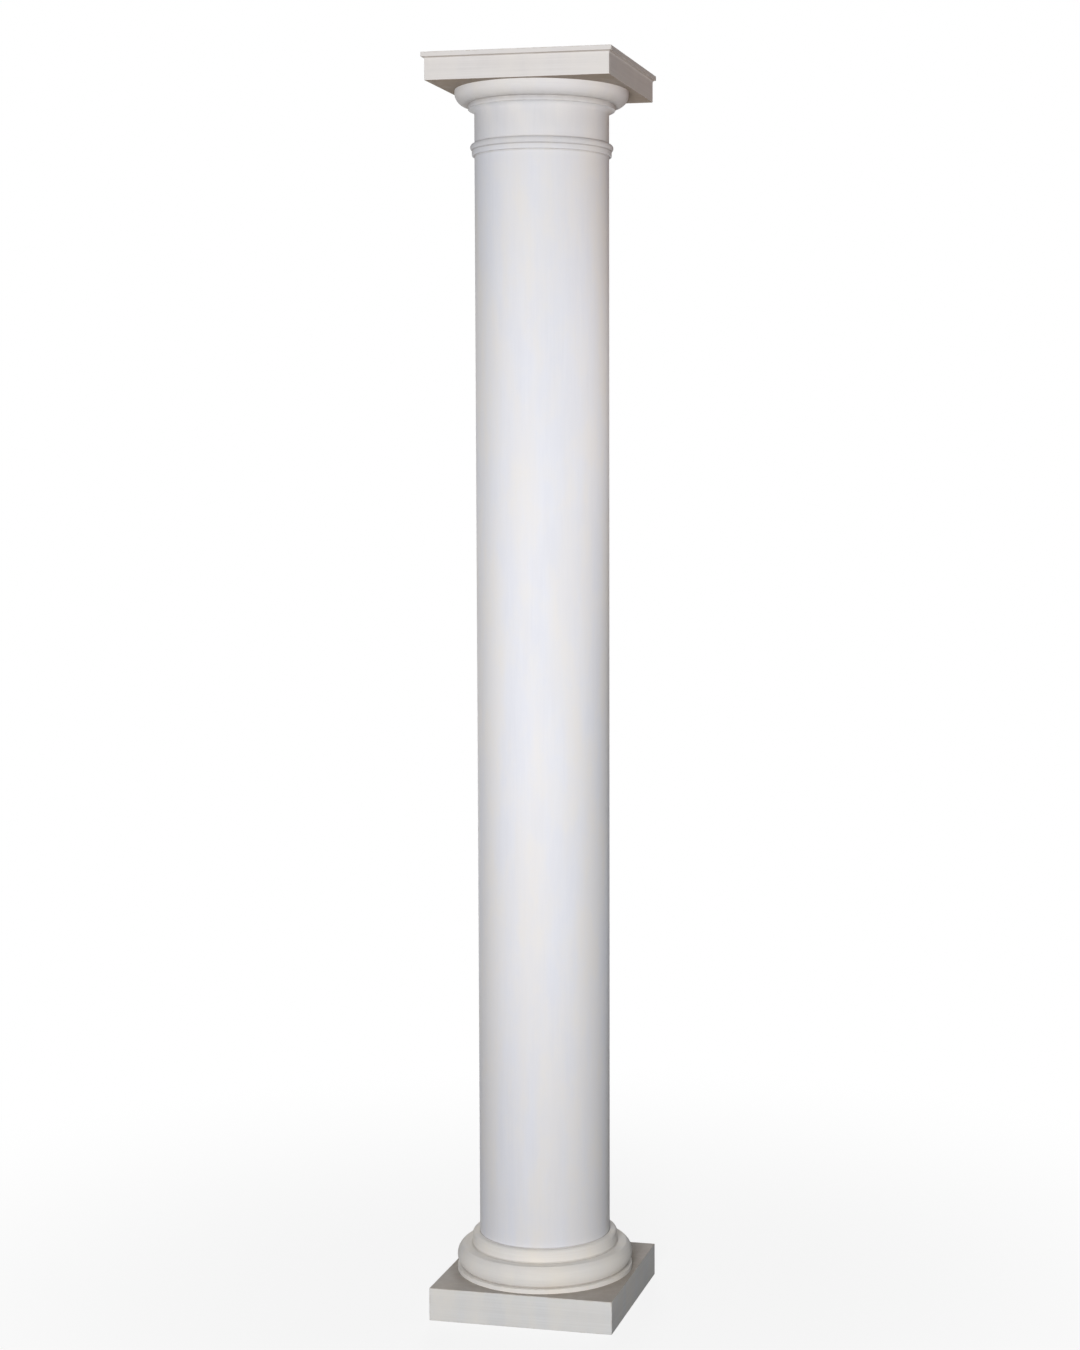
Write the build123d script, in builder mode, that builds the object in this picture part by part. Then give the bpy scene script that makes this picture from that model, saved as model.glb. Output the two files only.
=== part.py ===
from build123d import *
import os

# A round column of painted wood: a square plinth, a turned base ring, a hollow shaft
# with its bead, cavetto and annulet turned on it, a turned echinus and a square abacus.
# Millimetres, +Z up. The origin is the middle of the underside of the plinth.
# The front face of the plinth looks along -Y.
# A projection is how far a moulding stands out from the face of the shaft.

# Overall
column_height = 2438.0

# Shaft, a plain hollow cylinder from the plinth up to the abacus
shaft_diameter = 260.0
shaft_wall = 34.0

# Plinth, a plain square block a little wider than the foot of the base ring
plinth_height = 65.0
plinth_margin = 9.0

# Base ring, slipped over the foot of the shaft: foot, torus and cincture
foot_projection = 45.0
foot_height = 9.0
torus_projection = 45.0
torus_depth = 11.5
torus_height = 42.0
cincture_projection = 14.5
cincture_height = 25.5
cincture_bevel = 4.0

# Bead near the top of the shaft, springing from a flat fillet under it
bead_fillet_projection = 5.0
bead_fillet_height = 10.0
bead_depth = 3.3
bead_height = 12.5
neck_height = 54.5

# Top of the shaft: a cavetto curves out from the neck to the annulet, a flat ring
cavetto_height = 11.0
cavetto_depth = 10.0
annulet_projection = 12.0
annulet_height = 9.0

# Echinus, a turned ring that rests on the annulet and overhangs it: a full round under a
# plain band, its foot the lower end of the round.
# Where it leaves the band the round already leans in, by this much for each mm down.
echinus_projection = 38.0
echinus_foot_projection = 22.0
echinus_round_height = 22.0
echinus_round_lean = 0.1
echinus_band_height = 5.0

# Abacus, a square block wider than the echinus, with a cove and a fillet round its top
abacus_margin = 10.5
abacus_height = 52.0
abacus_fillet_projection = 5.5
abacus_fillet_height = 9.0
abacus_cove_height = 5.0

# Fits and eased edges
ring_clearance = 0.3
arris = 1.2

# Radii worked out from those above
shaft_radius = shaft_diameter / 2
shaft_bore_radius = shaft_radius - shaft_wall
ring_bore_radius = shaft_radius + ring_clearance
foot_radius = shaft_radius + foot_projection
torus_radius = shaft_radius + torus_projection
cincture_radius = shaft_radius + cincture_projection
bead_fillet_radius = shaft_radius + bead_fillet_projection
annulet_radius = shaft_radius + annulet_projection
echinus_radius = shaft_radius + echinus_projection
echinus_foot_radius = shaft_radius + echinus_foot_projection

# Half widths of the two square blocks
plinth_half = foot_radius + plinth_margin
abacus_face_half = echinus_radius + abacus_margin
abacus_half = abacus_face_half + abacus_fillet_projection

# Heights up from the floor
torus_bottom = plinth_height + foot_height
cincture_bottom = torus_bottom + torus_height
base_ring_top = cincture_bottom + cincture_height

# Heights down from the top
abacus_bottom = column_height - abacus_height
echinus_band_bottom = abacus_bottom - echinus_band_height
echinus_bottom = echinus_band_bottom - echinus_round_height
annulet_bottom = echinus_bottom - annulet_height
neck_top = annulet_bottom - cavetto_height
bead_top = neck_top - neck_height
bead_bottom = bead_top - bead_height
bead_fillet_bottom = bead_bottom - bead_fillet_height

os.makedirs("parts", exist_ok=True)


# Plinth
with BuildPart() as plinth:
    with BuildSketch():
        Rectangle(2 * plinth_half, 2 * plinth_half)
    extrude(amount=plinth_height)
    chamfer(plinth.edges(), length=arris)
plinth.part.label = "plinth"


# Base ring: half of its section, turned about the axis of the column
torus_seat_radius = torus_radius - torus_depth
torus_middle = torus_bottom + torus_height / 2

with BuildPart() as base_ring:
    with BuildSketch(Plane.XZ):
        with BuildLine():
            Polyline(
                (ring_bore_radius, base_ring_top),
                (ring_bore_radius, plinth_height),
                (foot_radius, plinth_height),
                (foot_radius, torus_bottom),
                (torus_seat_radius, torus_bottom),
            )
            ThreePointArc(
                (torus_seat_radius, torus_bottom),
                (torus_radius, torus_middle),
                (torus_seat_radius, cincture_bottom),
            )
            Polyline(
                (torus_seat_radius, cincture_bottom),
                (cincture_radius, cincture_bottom),
                (cincture_radius, base_ring_top - cincture_bevel),
                (cincture_radius - cincture_bevel, base_ring_top),
                (ring_bore_radius, base_ring_top),
            )
        make_face()
    revolve(axis=Axis.Z)
base_ring.part.label = "base_ring"


# Shaft: the hollow wall with every moulding that is turned on it
bead_radius = bead_fillet_radius + bead_depth
bead_middle = bead_bottom + bead_height / 2
cavetto_radius = shaft_radius + cavetto_depth

with BuildPart() as shaft:
    with BuildSketch(Plane.XZ):
        with BuildLine():
            Polyline(
                (shaft_radius, abacus_bottom),
                (shaft_bore_radius, abacus_bottom),
                (shaft_bore_radius, plinth_height),
                (shaft_radius, plinth_height),
                (shaft_radius, bead_fillet_bottom),
                (bead_fillet_radius, bead_fillet_bottom),
                (bead_fillet_radius, bead_bottom),
            )
            ThreePointArc(
                (bead_fillet_radius, bead_bottom),
                (bead_radius, bead_middle),
                (bead_fillet_radius, bead_top),
            )
            Polyline(
                (bead_fillet_radius, bead_top),
                (shaft_radius, bead_top),
                (shaft_radius, neck_top),
            )
            TangentArc(
                (shaft_radius, neck_top),
                (cavetto_radius, annulet_bottom),
                tangent=(0, 1),
            )
            Polyline(
                (cavetto_radius, annulet_bottom),
                (annulet_radius, annulet_bottom),
                (annulet_radius, echinus_bottom),
                (shaft_radius, echinus_bottom),
                (shaft_radius, abacus_bottom),
            )
        make_face()
    revolve(axis=Axis.Z)
shaft.part.label = "shaft"


# Echinus: its round runs from under the band in to its foot
with BuildPart() as echinus:
    with BuildSketch(Plane.XZ):
        with BuildLine():
            TangentArc(
                (echinus_radius, echinus_band_bottom),
                (echinus_foot_radius, echinus_bottom),
                tangent=(-echinus_round_lean, -1),
            )
            Polyline(
                (echinus_foot_radius, echinus_bottom),
                (ring_bore_radius, echinus_bottom),
                (ring_bore_radius, abacus_bottom),
                (echinus_radius, abacus_bottom),
                (echinus_radius, echinus_band_bottom),
            )
        make_face()
    revolve(axis=Axis.Z)
echinus.part.label = "echinus"


# Abacus: one section of its edge runs both ways, so the cove meets in mitres at the corners
abacus_fillet_bottom = column_height - abacus_fillet_height
cove_start = (abacus_face_half, abacus_fillet_bottom - abacus_cove_height)
cove_end = (abacus_half - arris, abacus_fillet_bottom)


def abacus_section(plane):
    """The abacus seen end on, from its underside up to its top fillet."""
    with BuildSketch(plane) as section:
        with BuildLine():
            Polyline(
                (0, abacus_bottom),
                (abacus_face_half - arris, abacus_bottom),
                (abacus_face_half, abacus_bottom + arris),
                cove_start,
            )
            TangentArc(cove_start, cove_end, tangent=(0, 1))
            Polyline(
                cove_end,
                (abacus_half, abacus_fillet_bottom),
                (abacus_half, column_height - arris),
                (abacus_half - arris, column_height),
                (0, column_height),
            )
            mirror(about=Plane.YZ)
        make_face()
    return section.sketch


front_section = abacus_section(Plane.XZ)
side_section = abacus_section(Plane.YZ)

with BuildPart() as abacus:
    extrude(front_section, amount=abacus_half, both=True)
    extrude(side_section, amount=abacus_half, both=True, mode=Mode.INTERSECT)
abacus.part.label = "abacus"


# One STEP file for each piece
export_step(plinth.part, "parts/plinth.step")
export_step(base_ring.part, "parts/base_ring.step")
export_step(shaft.part, "parts/shaft.step")
export_step(echinus.part, "parts/echinus.step")
export_step(abacus.part, "parts/abacus.step")
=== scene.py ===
import math

import bmesh
import bpy
from mathutils import Matrix, Vector


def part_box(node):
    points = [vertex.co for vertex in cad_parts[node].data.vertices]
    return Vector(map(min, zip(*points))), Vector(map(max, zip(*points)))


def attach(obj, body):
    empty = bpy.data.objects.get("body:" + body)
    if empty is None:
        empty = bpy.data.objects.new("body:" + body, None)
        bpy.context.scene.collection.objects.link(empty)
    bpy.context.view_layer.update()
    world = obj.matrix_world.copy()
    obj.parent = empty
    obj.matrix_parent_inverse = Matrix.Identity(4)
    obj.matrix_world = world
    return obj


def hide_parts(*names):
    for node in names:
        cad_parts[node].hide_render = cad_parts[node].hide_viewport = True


# The looks of a round painted wood column: a square plinth, a turned base ring, a hollow
# shaft with its mouldings, a turned echinus and a square abacus. Metres, in the CAD's frame.

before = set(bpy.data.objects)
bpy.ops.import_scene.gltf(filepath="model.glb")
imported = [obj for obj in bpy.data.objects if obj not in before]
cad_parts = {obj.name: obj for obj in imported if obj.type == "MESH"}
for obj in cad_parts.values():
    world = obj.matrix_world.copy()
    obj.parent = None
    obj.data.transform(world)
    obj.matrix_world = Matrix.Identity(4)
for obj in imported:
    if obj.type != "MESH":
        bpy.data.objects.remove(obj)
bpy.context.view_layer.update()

# Sizes read from the frame
plinth_low, plinth_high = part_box("plinth")
ring_low, ring_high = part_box("base_ring")
shaft_low, shaft_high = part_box("shaft")
echinus_low, echinus_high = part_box("echinus")
abacus_low, abacus_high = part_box("abacus")

# Sizes of the mouldings that a box doesn't give
SHAFT_RADIUS = 0.130
SHAFT_WALL = 0.034
RING_CLEARANCE = 0.0003
FOOT_HEIGHT = 0.009
TORUS_HEIGHT = 0.042
TORUS_DEPTH = 0.0115
CINCTURE_PROJECTION = 0.0145
CINCTURE_ROUND = 0.006
BEAD_FILLET_PROJECTION = 0.005
BEAD_FILLET_HEIGHT = 0.010
BEAD_PROJECTION = 0.0083
BEAD_HEIGHT = 0.0125
NECK_HEIGHT = 0.0545
CAVETTO_HEIGHT = 0.011
CAVETTO_DEPTH = 0.010
CAVETTO_HOLLOW = 0.0029
ANNULET_HEIGHT = 0.009
ECHINUS_FOOT_PROJECTION = 0.022
ECHINUS_BAND_HEIGHT = 0.005
ECHINUS_ROUND_DEPTH = 0.0044
ABACUS_FILLET_PROJECTION = 0.0055
ABACUS_FILLET_HEIGHT = 0.009
ABACUS_COVE_HEIGHT = 0.005

# How far the corners of the sections are eased
CRISP = 0.0005
ANNULET_EDGE = 0.0006
TURNED_EDGE = 0.0008
FILLED_EDGE = 0.0010
SOFT_EDGE = 0.0012
BLOCK_EDGE = 0.0015
BEAD_CREASE = 0.0016
CINCTURE_EDGE = 0.0020

# How finely things are made. A support is a short facet beside an ease, which keeps the
# shading of the flat next to it flat. The top and bottom of a block have rings of points at
# shares of its half width, and its outline starts and ends at a share of it.
FACETS_ROUND = 256
EASE_STEPS = 5
EASE_SUPPORT = 0.0004
SIDE_CELLS = 46
CORNER_STEPS = 4
CORNER_ROUND = 0.0010
CORNER_SHARE_MAX = 0.2
FLAT_RINGS = (0.02, 0.2, 0.4, 0.6, 0.8)
FLAT_START = 0.9
CRISP_ANGLE = math.radians(24)

# Radii of the mouldings. The torus stands as far out as the foot of its ring.
bore_radius = SHAFT_RADIUS + RING_CLEARANCE
foot_radius = ring_high.x
torus_seat_radius = foot_radius - TORUS_DEPTH
cincture_radius = SHAFT_RADIUS + CINCTURE_PROJECTION
shaft_bore_radius = SHAFT_RADIUS - SHAFT_WALL
bead_fillet_radius = SHAFT_RADIUS + BEAD_FILLET_PROJECTION
bead_round = BEAD_HEIGHT / 2
bead_crest = SHAFT_RADIUS + BEAD_PROJECTION
cavetto_radius = SHAFT_RADIUS + CAVETTO_DEPTH
annulet_radius = shaft_high.x
echinus_foot_radius = SHAFT_RADIUS + ECHINUS_FOOT_PROJECTION
echinus_radius = echinus_high.x

# Half widths of the blocks
plinth_half = plinth_high.x
abacus_half = abacus_high.x
abacus_face_half = abacus_half - ABACUS_FILLET_PROJECTION

# Heights, from the floor up and then from the top down
plinth_bottom = plinth_low.z
plinth_top = plinth_high.z
torus_bottom = ring_low.z + FOOT_HEIGHT
cincture_bottom = torus_bottom + TORUS_HEIGHT
base_ring_top = ring_high.z
abacus_top = abacus_high.z
abacus_fillet_bottom = abacus_top - ABACUS_FILLET_HEIGHT
cove_bottom = abacus_fillet_bottom - ABACUS_COVE_HEIGHT
abacus_bottom = abacus_low.z
echinus_band_bottom = abacus_bottom - ECHINUS_BAND_HEIGHT
echinus_bottom = echinus_low.z
annulet_bottom = echinus_bottom - ANNULET_HEIGHT
neck_top = annulet_bottom - CAVETTO_HEIGHT
bead_top = neck_top - NECK_HEIGHT
bead_bottom = bead_top - BEAD_HEIGHT
bead_middle = bead_bottom + bead_round
bead_fillet_bottom = bead_bottom - BEAD_FILLET_HEIGHT


# Nodes

class Value:
    """A number that varies over a surface. Sums on it add Math nodes."""

    def __init__(self, nodes, socket):
        self.nodes = nodes
        self.socket = socket

    def __add__(self, other):
        return self.nodes.maths("ADD", self, other)

    __radd__ = __add__

    def __sub__(self, other):
        return self.nodes.maths("SUBTRACT", self, other)

    def __rsub__(self, other):
        return self.nodes.maths("SUBTRACT", other, self)

    def __mul__(self, other):
        return self.nodes.maths("MULTIPLY", self, other)

    __rmul__ = __mul__

    def __truediv__(self, other):
        return self.nodes.maths("DIVIDE", self, other)

    def __rtruediv__(self, other):
        return self.nodes.maths("DIVIDE", other, self)

    def __pow__(self, other):
        return self.nodes.maths("POWER", self, other)

    def __rpow__(self, other):
        return self.nodes.maths("POWER", other, self)

    def __abs__(self):
        return self.nodes.maths("ABSOLUTE", self)

    def least(self, other):
        return self.nodes.maths("MINIMUM", self, other)

    def most(self, other):
        return self.nodes.maths("MAXIMUM", self, other)

    def ramp(self, start, end):
        """0 before start and 1 after end, smooth between; start may be the larger."""
        rising = start < end
        return self.nodes.value(
            "ShaderNodeMapRange", {"interpolation_type": "SMOOTHSTEP"},
            {"Value": self, "From Min": min(start, end), "From Max": max(start, end),
             "To Min": 0 if rising else 1, "To Max": 1 if rising else 0})


class Nodes:
    """A node tree that is filled node by node."""

    def __init__(self, tree):
        self.tree = tree
        tree.nodes.clear()

    def node(self, kind, settings=None, values=None):
        """Any node: its settings first, then the values or links of its sockets."""
        made = self.tree.nodes.new(kind)
        for key, setting in (settings or {}).items():
            setattr(made, key, setting)
        for key, value in (values or {}).items():
            source = value.socket if isinstance(value, Value) else value
            if isinstance(source, bpy.types.NodeSocket):
                self.tree.links.new(source, made.inputs[key])
            else:
                made.inputs[key].default_value = source
        return made

    def value(self, kind, settings=None, values=None):
        """The first output of a node, wrapped so that sums can be written on it."""
        return Value(self, self.node(kind, settings, values).outputs[0])

    def maths(self, operation, *terms):
        return self.value("ShaderNodeMath", {"operation": operation}, dict(enumerate(terms)))

    def parts(self, vector):
        """X, Y and Z of a vector."""
        made = self.node("ShaderNodeSeparateXYZ", values={0: vector})
        return [Value(self, part) for part in made.outputs]

    def shows(self):
        """1 for a ray that shows a thing to the eye, straight, in gloss or through glass."""
        rays = self.node("ShaderNodeLightPath").outputs
        straight = Value(self, rays["Is Camera Ray"])
        glossy = Value(self, rays["Is Glossy Ray"])
        through = Value(self, rays["Is Transmission Ray"])
        return straight.most(glossy).most(through)


def rgb(red, green, blue):
    return (red, green, blue, 1)


def distance(across, up):
    """How far off a place is, from how far it is across and up."""
    return (across * across + up * up) ** 0.5


# Paint

# A face counts as level as the upright part of its normal goes from the first to the second
SLOPING = 0.5
LEVEL = 0.8

# What lies on the paint: dust and grime, which also stand for painted shade, and worn paint
DUST_AND_SHADE_COLOUR = rgb(0.33, 0.265, 0.21)
GRIME_AND_SHADE_COLOUR = rgb(0.33, 0.29, 0.25)
WORN_PAINT = rgb(0.60, 0.55, 0.47)

# How much of the tone comes from brush marks, clouds and patches
TONE_OF_MARKS = 0.45
TONE_OF_CLOUDS = 0.30
TONE_OF_PATCHES = 0.25

# How far patches and long streaks have aged
AGED_PATCHES = 0.3
AGED_STREAKS = 0.5

# How thick dust and grime, with their painted shade, lie evenly, in clouds and in specks, and how far
# worn paint shows
DUST_AND_SHADE_EVEN = 0.64
DUST_AND_SHADE_CLOUDS = 0.2
DUST_AND_SHADE_SPECKS = 0.14
GRIME_AND_SHADE_EVEN = 0.25
GRIME_AND_SHADE_SPECKS = 0.35
WEAR_SHOWN = 0.5

# Relief of the paint: the depth of its marks, how strong it is, and how high its grain and
# how deep its worn spots are against the marks
MARK_DEPTH = 0.00012
RELIEF = 0.5
GRAIN_HEIGHT = 0.25
WORN_SINK = 0.8

# Sheen of the paint, and how much rougher it is where its tone is darker, where it is worn, and under
# grime and painted shade
ROUGHNESS = 0.72
ROUGHER_SHADED = 0.10
ROUGHER_WORN = 0.15
ROUGHER_IN_GRIME_AND_SHADE = 0.12
SHINE = 0.2
CHALKINESS = 0.2

# Brush marks on the rings and on the blocks, and how far wear reaches in from an arris
BRUSH_DETAIL = 3.0
RING_MARKS = {"width": 0.003, "length": 0.12}
BLOCK_MARKS = {"width": 0.0035, "length": 0.25}
WEAR_REACH = 0.0035


class Paint(Nodes):
    """One material, built node by node on Object coordinates."""

    def __init__(self, name):
        self.material = bpy.data.materials.new(name)
        self.material.use_nodes = True
        super().__init__(self.material.node_tree)
        place = self.node("ShaderNodeTexCoord")
        self.x, self.y, self.z = self.parts(place.outputs["Object"])
        self.radius = distance(self.x, self.y)
        facing = self.node("ShaderNodeNewGeometry")
        tilt = self.parts(facing.outputs["True Normal"])[2]
        self.level = abs(tilt).ramp(SLOPING, LEVEL)

    def noise(self, x, y, z, w=None, detail=2.0, roughness=0.5):
        """Smooth noise from 0 to 1, one unit of a coordinate to a blob."""
        place = self.node("ShaderNodeCombineXYZ", values={0: x, 1: y, 2: z})
        settings = {"noise_dimensions": "3D" if w is None else "4D"}
        values = {"Vector": place.outputs[0], "Scale": 1.0, "Detail": detail, "Roughness": roughness}
        if w is not None:
            values["W"] = w
        return self.value("ShaderNodeTexNoise", settings, values)

    def mottle(self, across, up, detail=2.0, roughness=0.5):
        """Noise with so many blobs to a metre across the column and up it."""
        return self.noise(self.x * across, self.y * across, self.z * up,
                          detail=detail, roughness=roughness)

    def blend(self, share, first, second):
        """Colour first where share is 0 and second where it is 1."""
        made = self.node("ShaderNodeMix", {"data_type": "RGBA", "clamp_factor": True},
                         {0: share, 6: first, 7: second})
        return made.outputs[2]

    def brushed_up(self, width, length):
        """Brush marks that run up the shaft."""
        return self.noise(self.x / width, self.y / width, self.z / length, detail=BRUSH_DETAIL)

    def brushed_round(self, width, length):
        """Brush marks that run round a turned piece."""
        return self.noise(self.x / length, self.y / length, self.z / width,
                          w=self.radius / width, detail=BRUSH_DETAIL)

    def brushed_along(self, width, length):
        """Brush marks that run level along the sides of a block, and along X on its flats."""
        on_flats = self.level * (self.y / width - self.y / length)
        return self.noise(self.x / length, self.y / length + on_flats, self.z / width,
                          detail=BRUSH_DETAIL)

    def rings(self, *places):
        """1 at rings round the column, given as (radius, height, reach), each fading over its reach."""
        nearest = None
        for radius, height, reach in places:
            near = distance(self.radius - radius, self.z - height).ramp(reach, 0.0)
            nearest = near if nearest is None else nearest.most(near)
        return nearest

    def arrises(self, half, bottom, top):
        """1 at the arrises of a square block, fading over the reach of its wear."""
        from_x = half - abs(self.x)
        from_y = half - abs(self.y)
        from_z = (self.z - bottom).least(top - self.z)
        second_nearest = from_x.least(from_y).most(from_x.most(from_y).least(from_z))
        return second_nearest.ramp(WEAR_REACH, 0.0)

    def finish(self, colour, shade, aged, marks, grime_and_shade, worn, dust_and_shade=None):
        """Puts the paint together: brush marks, clouds, aged patches, dust and grime that also carry
        painted shade, worn edges.
        """
        cloud = self.mottle(across=7.0, up=3.0).ramp(0.3, 0.7)
        patches = self.mottle(across=24.0, up=11.0, detail=4.0, roughness=0.6)
        streaks = self.mottle(across=16.0, up=2.0).ramp(0.36, 0.64)
        dirt = self.mottle(across=60.0, up=60.0, detail=4.0, roughness=0.6)
        grain = self.mottle(across=900.0, up=900.0, detail=1.0)

        tone = (marks.ramp(0.30, 0.72) * TONE_OF_MARKS + cloud * TONE_OF_CLOUDS
                + patches.ramp(0.3, 0.7) * TONE_OF_PATCHES)
        surface = self.blend(tone, shade, colour)
        age = patches.ramp(0.42, 0.66) * AGED_PATCHES + streaks * AGED_STREAKS
        surface = self.blend(age, surface, aged)
        # Dust lies on level faces; on the plinth top and under the abacus it is also painted shade
        if dust_and_shade is not None:
            settled_dust_and_shade = cloud * DUST_AND_SHADE_CLOUDS + dirt.ramp(0.25, 0.75) * DUST_AND_SHADE_SPECKS + DUST_AND_SHADE_EVEN
            surface = self.blend(settled_dust_and_shade * dust_and_shade, surface, DUST_AND_SHADE_COLOUR)
        # The grime colour darkens creases and faces under overhangs: painted shade, with some real
        # grime
        surface = self.blend(grime_and_shade * (dirt * GRIME_AND_SHADE_SPECKS + GRIME_AND_SHADE_EVEN), surface, GRIME_AND_SHADE_COLOUR)
        rubbed = worn * dirt.ramp(0.42, 0.62)
        surface = self.blend(rubbed * WEAR_SHOWN, surface, WORN_PAINT)

        height = marks + grain * GRAIN_HEIGHT - rubbed * WORN_SINK
        relief = self.node("ShaderNodeBump",
                           values={"Strength": RELIEF, "Distance": MARK_DEPTH, "Height": height})
        roughness = (ROUGHNESS + (0.5 - tone) * ROUGHER_SHADED + rubbed * ROUGHER_WORN
                     + grime_and_shade * ROUGHER_IN_GRIME_AND_SHADE)
        shader = self.node("ShaderNodeBsdfPrincipled",
                           values={"Base Color": surface, "Roughness": roughness,
                                   "Normal": relief.outputs[0], "Specular IOR Level": SHINE,
                                   "Diffuse Roughness": CHALKINESS})
        self.node("ShaderNodeOutputMaterial", values={"Surface": shader.outputs[0]})
        return self.material


# Dust and painted shade on the blocks: how far they reach down from the top of the plinth, how much
# lies on the plinth and on the abacus, and how much more painted shade darkens the brown underside of
# the abacus
DUST_AND_SHADE_DEPTH = 0.004
PLINTH_DUST_AND_SHADE = 0.72
ABACUS_DUST_AND_SHADE = 0.65
UNDERSIDE_PAINTED_SHADE = 0.6

# Plinth top: dust and painted shade, darkest beside the ring's foot, where grime and the torus's
# painted shadow lie
paint = Paint("plinth_paint")
plinth_finish = paint.finish(
    colour=rgb(0.825, 0.83, 0.838),
    shade=rgb(0.725, 0.722, 0.72),
    aged=rgb(0.83, 0.80, 0.75),
    marks=paint.brushed_along(**BLOCK_MARKS),
    grime_and_shade=paint.rings((foot_radius, plinth_top, 0.030)) * paint.level,
    worn=paint.arrises(plinth_half, plinth_bottom, plinth_top),
    dust_and_shade=paint.level * paint.z.ramp(plinth_top - DUST_AND_SHADE_DEPTH, plinth_top) * PLINTH_DUST_AND_SHADE)

# The base ring: painted shade with some grime in the creases below and above the torus, and a dark
# joint at the shaft
paint = Paint("base_paint")
base_finish = paint.finish(
    colour=rgb(0.90, 0.88, 0.86),
    shade=rgb(0.82, 0.795, 0.77),
    aged=rgb(0.91, 0.86, 0.785),
    marks=paint.brushed_round(**RING_MARKS),
    grime_and_shade=paint.rings(
        (torus_seat_radius, torus_bottom, 0.009),
        (cincture_radius, cincture_bottom, 0.005),
        (SHAFT_RADIUS, base_ring_top, 0.0015)),
    worn=paint.rings((foot_radius, torus_bottom, 0.002)))

# The shaft is cool white. From just under the bead up to the annulet it is a little greyer and
# warmer: painted shade and a painted warm reflection under the capital. Its bead is darker all over
# with painted shade.
HEAD_FADE = 0.03
FINE_SHARE = 0.6
BEAD_PAINTED_SHADE = 0.35

# Darker lines: painted shade with some grime under the echinus, over and under the bead and under its
# fillet; a dark joint at the base ring
paint = Paint("shaft_paint")
painted_light_at_head = paint.z.ramp(bead_fillet_bottom - HEAD_FADE, neck_top)
fine_marks = paint.brushed_up(width=0.0040, length=0.09)
broad_marks = paint.brushed_up(width=0.011, length=0.20)
shaft_finish = paint.finish(
    colour=paint.blend(painted_light_at_head, rgb(0.812, 0.822, 0.872), rgb(0.768, 0.764, 0.785)),
    shade=paint.blend(painted_light_at_head, rgb(0.765, 0.772, 0.825), rgb(0.715, 0.708, 0.73)),
    aged=rgb(0.835, 0.808, 0.785),
    marks=fine_marks * FINE_SHARE + broad_marks * (1 - FINE_SHARE),
    grime_and_shade=paint.rings(
        (SHAFT_RADIUS, base_ring_top, 0.002),
        (annulet_radius, echinus_bottom, 0.011),
        (SHAFT_RADIUS, bead_top, 0.004),
        (bead_fillet_radius, bead_bottom, 0.003),
        (SHAFT_RADIUS, bead_fillet_bottom, 0.005),
    ).most(paint.rings((bead_crest, bead_middle, 0.020)) * BEAD_PAINTED_SHADE),
    worn=paint.rings((annulet_radius, annulet_bottom, 0.0015)))

# The lower part of the echinus is darker with painted shade under its round
paint = Paint("echinus_paint")
echinus_finish = paint.finish(
    colour=rgb(0.845, 0.83, 0.84),
    shade=rgb(0.785, 0.77, 0.78),
    aged=rgb(0.845, 0.81, 0.77),
    marks=paint.brushed_round(**RING_MARKS),
    grime_and_shade=paint.rings((annulet_radius, echinus_bottom, 0.034)),
    worn=paint.rings((echinus_radius, abacus_bottom, 0.001)))

# The abacus top is dusty; its underside is dark and brown with painted shade, darkest round the echinus
paint = Paint("abacus_paint")
underside = paint.z.ramp(abacus_top, abacus_bottom)
abacus_finish = paint.finish(
    colour=rgb(0.855, 0.828, 0.82),
    shade=rgb(0.745, 0.718, 0.705),
    aged=rgb(0.83, 0.795, 0.765),
    marks=paint.brushed_along(**BLOCK_MARKS),
    grime_and_shade=paint.rings((echinus_radius, abacus_bottom, 0.035)) * paint.level,
    worn=paint.arrises(abacus_half, abacus_bottom, abacus_top),
    dust_and_shade=paint.level * (underside * UNDERSIDE_PAINTED_SHADE + ABACUS_DUST_AND_SHADE))


# Section lines

def arc(centre_x, centre_z, radius, start, end, steps):
    """Corners of a round stretch, from one angle to another in degrees, counted from +X."""
    corners = []
    for step in range(steps + 1):
        angle = math.radians(start + (end - start) * step / steps)
        corners.append((centre_x + radius * math.cos(angle), centre_z + radius * math.sin(angle), 0))
    return corners


def bulge(start, end, depth, steps):
    """Corners of a round stretch between two points, standing out by depth to the right of them."""
    start, end = Vector(start), Vector(end)
    along = (end - start).normalized()
    across = Vector((along.y, -along.x))
    half = (end - start).length / 2
    radius = (half * half + depth * depth) / (2 * depth)
    centre = (start + end) / 2 + across * (depth - radius)
    reach = math.asin(half / radius)
    corners = []
    for step in range(1, steps):
        angle = reach * (2 * step / steps - 1)
        place = centre + across * (radius * math.cos(angle)) + along * (radius * math.sin(angle))
        corners.append((place.x, place.y, 0))
    return corners


def eased(corners, closed=True):
    """A line through corners (x, z, ease), each rounded off over its ease."""
    line = []
    last = len(corners) - 1
    for index, (x, z, ease) in enumerate(corners):
        point = Vector((x, z))
        end_of_line = not closed and index in (0, last)
        if ease == 0 or end_of_line:
            line.append(point)
            continue
        before = (Vector(corners[index - 1][:2]) - point).normalized()
        after = (Vector(corners[(index + 1) % len(corners)][:2]) - point).normalized()
        start = point + before * ease
        end = point + after * ease
        line.append(start + before * EASE_SUPPORT)
        for step in range(EASE_STEPS + 1):
            share = step / EASE_STEPS
            line.append(start.lerp(point, share).lerp(point.lerp(end, share), share))
        line.append(end + after * EASE_SUPPORT)
    return line


def make_piece(name, shape, mesh):
    """Writes a shape into a mesh, its faces pointing outwards, and puts it in the scene."""
    bmesh.ops.recalc_face_normals(shape, faces=shape.faces)
    shape.to_mesh(mesh)
    shape.free()
    piece = bpy.data.objects.new(name, mesh)
    bpy.context.scene.collection.objects.link(piece)
    return piece


# Turned pieces

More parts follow.
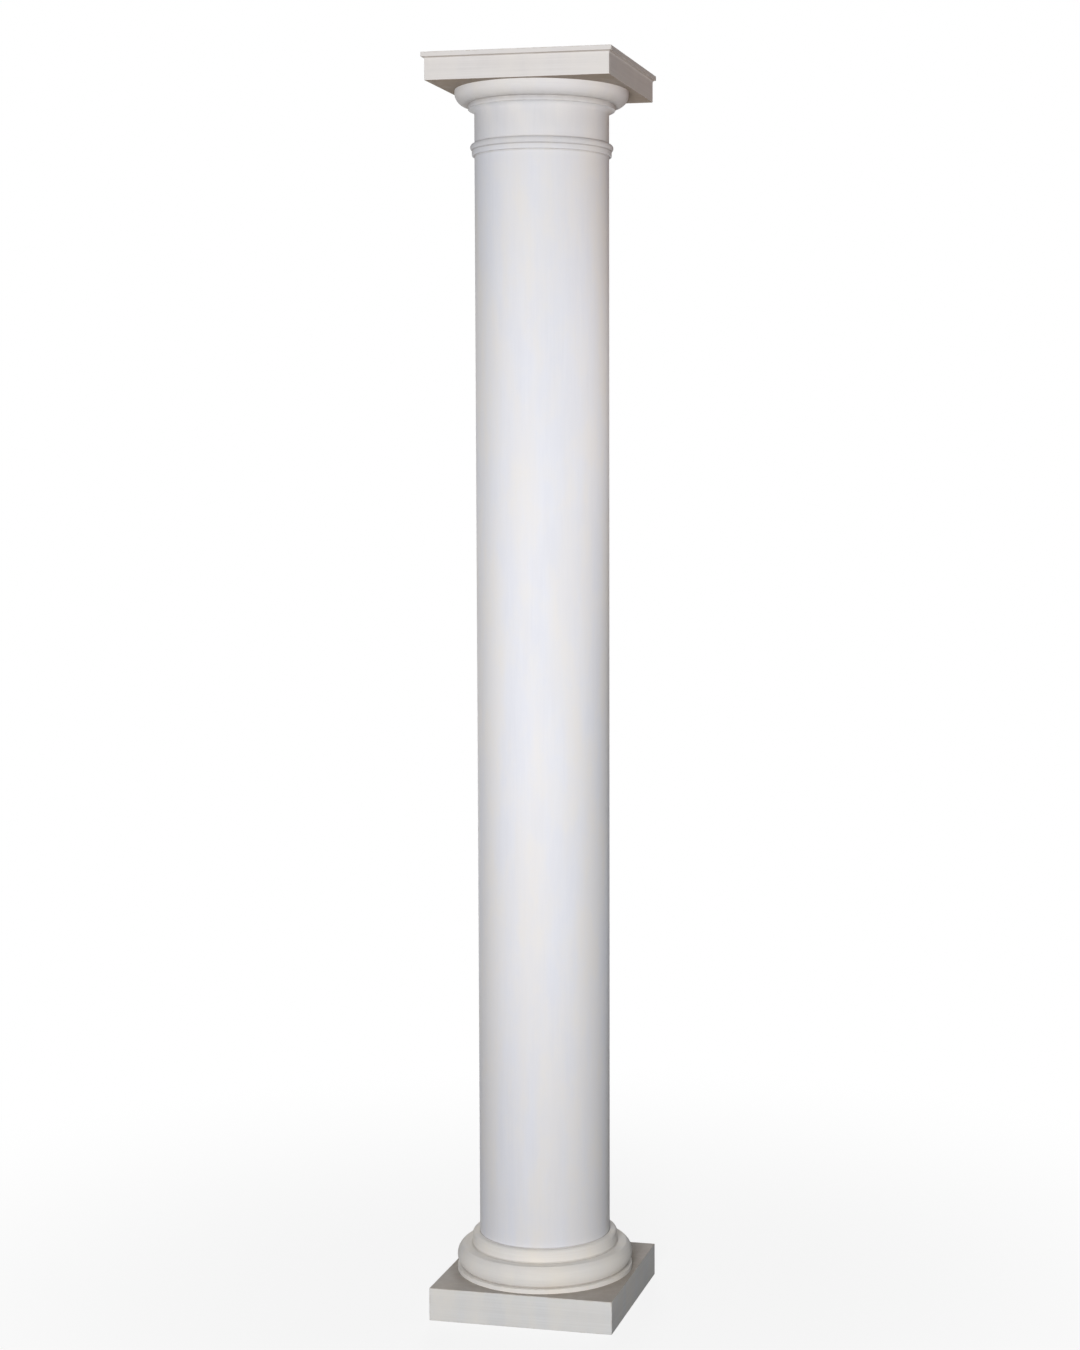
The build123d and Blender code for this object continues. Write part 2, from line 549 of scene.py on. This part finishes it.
def section_object(name, line):
    """A closed flat curve that holds a half section, drawn from the turning radius."""
    curve = bpy.data.curves.new(name, "CURVE")
    spline = curve.splines.new("POLY")
    spline.points.add(len(line) - 1)
    for point, place in zip(spline.points, line):
        point.co = (place.x - SHAFT_RADIUS, -place.y, 0, 1)
    spline.use_cyclic_u = True
    section = bpy.data.objects.new(name, curve)
    bpy.context.scene.collection.objects.link(section)
    return section


def lathe():
    """A Geometry Nodes tree that turns a half section about the column's axis."""
    tree = bpy.data.node_groups.new("lathe", "GeometryNodeTree")
    inputs = {"Section": "Object", "Turning radius": "Float", "Facets round": "Int",
              "Crisp angle": "Float", "Finish": "Material"}
    for name, kind in inputs.items():
        tree.interface.new_socket(name, in_out="INPUT", socket_type="NodeSocket" + kind)
    tree.interface.new_socket("Geometry", in_out="OUTPUT", socket_type="NodeSocketGeometry")

    nodes = Nodes(tree)
    given = nodes.node("NodeGroupInput").outputs
    section = nodes.node("GeometryNodeObjectInfo", values={"Object": given["Section"]})
    path = nodes.node("GeometryNodeCurvePrimitiveCircle",
                      values={"Resolution": given["Facets round"], "Radius": given["Turning radius"]})
    turned = nodes.node("GeometryNodeCurveToMesh",
                        values={"Curve": path.outputs["Curve"],
                                "Profile Curve": section.outputs["Geometry"]})
    angle = nodes.node("GeometryNodeInputMeshEdgeAngle")
    soft = nodes.node("FunctionNodeCompare", {"data_type": "FLOAT", "operation": "LESS_THAN"},
                      {"A": angle.outputs["Unsigned Angle"], "B": given["Crisp angle"]})
    smooth_faces = nodes.node("GeometryNodeSetShadeSmooth", {"domain": "FACE"},
                              {"Geometry": turned.outputs["Mesh"]})
    smooth_edges = nodes.node("GeometryNodeSetShadeSmooth", {"domain": "EDGE"},
                              {"Geometry": smooth_faces.outputs[0],
                               "Shade Smooth": soft.outputs["Result"]})
    whole = nodes.node("GeometryNodeRealizeInstances", values={"Geometry": smooth_edges.outputs[0]})
    finished = nodes.node("GeometryNodeSetMaterial",
                          values={"Geometry": whole.outputs[0], "Material": given["Finish"]})
    nodes.node("NodeGroupOutput", values={"Geometry": finished.outputs[0]})
    return tree


def turn(name, tree, corners, finish):
    """A turned piece as a plain mesh, from the corners of its half section."""
    section = section_object(name + "_section", eased(corners))
    host = bpy.data.objects.new(name + "_host", bpy.data.meshes.new(name + "_host"))
    bpy.context.scene.collection.objects.link(host)
    modifier = host.modifiers.new("lathe", "NODES")
    modifier.node_group = tree
    values = {"Section": section, "Turning radius": SHAFT_RADIUS, "Facets round": FACETS_ROUND,
              "Crisp angle": CRISP_ANGLE, "Finish": finish}
    for item in tree.interface.items_tree:
        if item.in_out == "INPUT":
            modifier[item.identifier] = values[item.name]
    depsgraph = bpy.context.evaluated_depsgraph_get()
    mesh = bpy.data.meshes.new_from_object(host.evaluated_get(depsgraph))
    mesh.name = name
    host.modifiers.remove(modifier)
    bpy.data.objects.remove(host)
    bpy.data.objects.remove(section)
    shape = bmesh.new()
    shape.from_mesh(mesh)
    return make_piece(name, shape, mesh)


turning = lathe()
base_ring = turn("turned_base_ring", turning, [
    (bore_radius, ring_low.z, CRISP),
    (foot_radius, ring_low.z, TURNED_EDGE),
    (foot_radius, torus_bottom, SOFT_EDGE),
    (torus_seat_radius, torus_bottom, TURNED_EDGE),
    *bulge((torus_seat_radius, torus_bottom), (torus_seat_radius, cincture_bottom),
           TORUS_DEPTH, steps=26),
    (torus_seat_radius, cincture_bottom, FILLED_EDGE),
    (cincture_radius, cincture_bottom, CINCTURE_EDGE),
    *arc(cincture_radius - CINCTURE_ROUND, base_ring_top - CINCTURE_ROUND, CINCTURE_ROUND,
         start=0, end=90, steps=10),
    (bore_radius, base_ring_top, TURNED_EDGE),
], base_finish)

shaft = turn("turned_shaft", turning, [
    (SHAFT_RADIUS, shaft_low.z, CRISP),
    (SHAFT_RADIUS, bead_fillet_bottom, TURNED_EDGE),
    (bead_fillet_radius, bead_fillet_bottom, SOFT_EDGE),
    (bead_fillet_radius, bead_bottom, CRISP),
    *arc(bead_crest - bead_round, bead_middle, bead_round, start=-75, end=89, steps=20),
    (SHAFT_RADIUS, bead_top, BEAD_CREASE),
    (SHAFT_RADIUS, neck_top, 0),
    *reversed(bulge((cavetto_radius, annulet_bottom), (SHAFT_RADIUS, neck_top),
                    CAVETTO_HOLLOW, steps=14)),
    (cavetto_radius, annulet_bottom, CRISP),
    (annulet_radius, annulet_bottom, CRISP),
    (annulet_radius, echinus_bottom, ANNULET_EDGE),
    (SHAFT_RADIUS, echinus_bottom, 0),
    (SHAFT_RADIUS, shaft_high.z, CRISP),
    (shaft_bore_radius, shaft_high.z, CRISP),
    (shaft_bore_radius, shaft_low.z, CRISP),
], shaft_finish)

echinus = turn("turned_echinus", turning, [
    (bore_radius, echinus_bottom, CRISP),
    (echinus_foot_radius, echinus_bottom, TURNED_EDGE),
    *bulge((echinus_foot_radius, echinus_bottom), (echinus_radius, echinus_band_bottom),
           ECHINUS_ROUND_DEPTH, steps=20),
    (echinus_radius, echinus_band_bottom, 0),
    (echinus_radius, abacus_bottom, TURNED_EDGE),
    (bore_radius, abacus_bottom, CRISP),
], echinus_finish)


# Square blocks

def square_ring(half, height):
    """Points round a square at one height, its corners rounded."""
    rounding = min(CORNER_ROUND, half * CORNER_SHARE_MAX)
    flat = half - rounding
    side = []
    for cell in range(SIDE_CELLS):
        side.append(Vector((half, flat * (2 * cell / SIDE_CELLS - 1), height)))
    for step in range(CORNER_STEPS):
        angle = math.radians(90 * step / CORNER_STEPS)
        x = flat + rounding * math.cos(angle)
        y = flat + rounding * math.sin(angle)
        side.append(Vector((x, y, height)))
    points = []
    for quarter in range(4):
        quarter_turn = Matrix.Rotation(math.radians(90 * quarter), 3, "Z")
        points += [quarter_turn @ place for place in side]
    return points


def square_block(name, corners, finish):
    """A square block whose sides follow corners (half width, height, ease), bottom to top."""
    line = eased(corners, closed=False)
    levels = [(line[0].x * share, line[0].y) for share in FLAT_RINGS]
    levels += [(point.x, point.y) for point in line]
    levels += [(line[-1].x * share, line[-1].y) for share in reversed(FLAT_RINGS)]
    shape = bmesh.new()
    rings = []
    for half, height in levels:
        rings.append([shape.verts.new(place) for place in square_ring(half, height)])
    count = len(rings[0])
    for lower, upper in zip(rings, rings[1:]):
        for index in range(count):
            following = (index + 1) % count
            shape.faces.new((lower[index], lower[following], upper[following], upper[index]))
    shape.faces.new(list(reversed(rings[0])))
    shape.faces.new(rings[-1])
    mesh = bpy.data.meshes.new(name)
    piece = make_piece(name, shape, mesh)
    for face in mesh.polygons:
        face.use_smooth = True
    mesh.set_sharp_from_angle(angle=CRISP_ANGLE)
    mesh.materials.append(finish)
    return piece


plinth = square_block("plinth_block", [
    (plinth_half * FLAT_START, plinth_bottom, 0),
    (plinth_half, plinth_bottom, BLOCK_EDGE),
    (plinth_half, plinth_top, BLOCK_EDGE),
    (plinth_half * FLAT_START, plinth_top, 0),
], plinth_finish)

abacus = square_block("abacus_block", [
    (abacus_face_half * FLAT_START, abacus_bottom, 0),
    (abacus_face_half, abacus_bottom, BLOCK_EDGE),
    (abacus_face_half, cove_bottom, CRISP),
    *arc(abacus_face_half + ABACUS_COVE_HEIGHT, cove_bottom, ABACUS_COVE_HEIGHT,
         start=176, end=92, steps=8),
    (abacus_half, abacus_fillet_bottom, FILLED_EDGE),
    (abacus_half, abacus_top, BLOCK_EDGE),
    (abacus_half * FLAT_START, abacus_top, 0),
], abacus_finish)

for piece, node, slot in (
    (plinth, "plinth", "plinth_paint"),
    (base_ring, "base_ring", "base_paint"),
    (shaft, "shaft", "shaft_paint"),
    (echinus, "echinus", "echinus_paint"),
    (abacus, "abacus", "abacus_paint"),
):
    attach(piece, "root")
    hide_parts(node)


# Studio

# The floor is white to the eye. Near the column a share of it shows the floor as it is lit,
# with the column's shadow, and that share fades out with the distance from the axis. To all
# other rays the floor is grey, so that it throws little light back up at the column.
FLOOR_RADIUS = 9.0
FLOOR_SEEN = rgb(0.9, 0.9, 0.9)
FLOOR_UNSEEN = rgb(0.32, 0.32, 0.32)
SHADOW = 0.14
SHADOW_NEAR = 0.3
SHADOW_FAR = 2.0
ROOM_LIGHT = 0.025
WHITE = rgb(1, 1, 1)

# Colours and sizes of the lamps, and how far from the column's axis they stand
PLAIN = (1, 1, 1)
OFF_WHITE = (1, 0.95, 0.87)
CREAM = (1, 0.93, 0.84)
AMBER = (1, 0.46, 0.22)
LARGE = (1.3, 1.3)
LARGE_HEIGHT = 1.5
LARGE_AWAY = 4.7
STRIP_WIDTH = 0.4
STRIP_AWAY = 1.3
OVERHEAD = 0.001


def floor():
    """A plain pale disc that keeps the column's shadow and fades into the white room."""
    mesh = bpy.data.meshes.new("floor")
    shape = bmesh.new()
    bmesh.ops.create_circle(shape, cap_ends=True, segments=96, radius=FLOOR_RADIUS)
    shape.to_mesh(mesh)
    shape.free()
    disc = bpy.data.objects.new("floor", mesh)
    bpy.context.scene.collection.objects.link(disc)
    look = Paint("floor_pale")
    seen = look.shows()
    white = look.node("ShaderNodeEmission", values={"Color": WHITE, "Strength": 1.0})
    tone = look.blend(seen, FLOOR_UNSEEN, FLOOR_SEEN)
    matt = look.node("ShaderNodeBsdfDiffuse", values={"Color": tone})
    bright = look.radius.ramp(SHADOW_NEAR, SHADOW_FAR) * SHADOW + (1 - SHADOW)
    mixed = look.node("ShaderNodeMixShader",
                      values={0: seen * bright, 1: matt.outputs[0], 2: white.outputs[0]})
    look.node("ShaderNodeOutputMaterial", values={"Surface": mixed.outputs[0]})
    mesh.materials.append(look.material)


def room():
    """An even dim room that shows as white behind the column."""
    world = bpy.data.worlds.new("room")
    bpy.context.scene.world = world
    world.use_nodes = True
    nodes = Nodes(world.node_tree)
    light = nodes.node("ShaderNodeBackground", values={"Color": WHITE, "Strength": ROOM_LIGHT})
    shown = nodes.node("ShaderNodeBackground", values={"Color": WHITE, "Strength": 1.0})
    mixed = nodes.node("ShaderNodeMixShader",
                       values={0: nodes.shows(), 1: light.outputs[0], 2: shown.outputs[0]})
    nodes.node("ShaderNodeOutputWorld", values={"Surface": mixed.outputs[0]})


def lamp(name, azimuth, away, height, size, aim, spread, power, colour=PLAIN, shine=True):
    """A soft lamp that looks at the column's axis; azimuth 0 is in front of it."""
    light = bpy.data.lights.new(name, "AREA")
    light.shape = "RECTANGLE"
    light.size, light.size_y = size
    light.spread = math.radians(spread)
    light.energy = power
    light.color = colour
    holder = bpy.data.objects.new(name, light)
    angle = math.radians(azimuth)
    place = Vector((away * math.sin(angle), -away * math.cos(angle), height))
    holder.location = place
    holder.rotation_euler = (Vector((0, 0, aim)) - place).to_track_quat("-Z", "Y").to_euler()
    holder.visible_camera = False
    holder.visible_glossy = shine
    bpy.context.scene.collection.objects.link(holder)


def camera():
    """The photograph's viewpoint: a little right of the front, at a standing person's eye."""
    lens = bpy.data.cameras.new("camera")
    lens.sensor_width = 36.0
    lens.lens = 64.66
    lens.shift_x = -0.0928
    lens.shift_y = 0.0106
    holder = bpy.data.objects.new("camera", lens)
    holder.location = (1.28341, -4.59101, 1.64877)
    yaw, pitch, roll = 0.2222, -0.0879, 0.0015
    ahead = Vector((-math.sin(yaw) * math.cos(pitch), math.cos(yaw) * math.cos(pitch), math.sin(pitch)))
    level = Vector((math.cos(yaw), math.sin(yaw), 0))
    upright = level.cross(ahead)
    right = level * math.cos(roll) + upright * math.sin(roll)
    up = upright * math.cos(roll) - level * math.sin(roll)
    holder.rotation_euler = Matrix((right, up, -ahead)).transposed().to_euler()
    bpy.context.scene.collection.objects.link(holder)
    bpy.context.scene.camera = holder


floor()
room()

# A large soft lamp near the camera and one behind, strips that give the sides and edges
# their tone, and a small lamp overhead. The back lamp doesn't shine, so no block mirrors it.
lamp("key", azimuth=8.5, away=LARGE_AWAY, height=LARGE_HEIGHT, size=LARGE,
     aim=1.45, spread=96, power=57.5)
lamp("low_strip", azimuth=50, away=1.6, height=0.68, size=(STRIP_WIDTH, 0.7),
     aim=0.68, spread=58, power=0.13)
for name, azimuth, height, tall, aim, spread, power, colour in (
    ("left_strip", -125, 1.7, 0.7, 1.7, 80, 0.75, OFF_WHITE),
    ("right_strip", 110, 1.75, 0.5, 1.75, 68, 0.75, CREAM),
    ("warm_strip", 105, 2.25, 0.4, 2.3, 90, 0.24, AMBER),
    ("left_low_strip", -136, 0.8, 0.8, 0.8, 72, 0.7, PLAIN),
    ("right_low_strip", 143, 0.8, 0.8, 0.8, 72, 0.5, PLAIN),
):
    lamp(name, azimuth, STRIP_AWAY, height, (STRIP_WIDTH, tall), aim, spread, power, colour)
lamp("back", azimuth=195, away=LARGE_AWAY, height=LARGE_HEIGHT, size=LARGE,
     aim=1.4, spread=97, power=40, shine=False)
lamp("top", azimuth=0, away=OVERHEAD, height=3.5, size=(0.3, 0.3), aim=2.4, spread=100, power=2.0)
camera()
bpy.context.scene.view_settings.view_transform = "Standard"
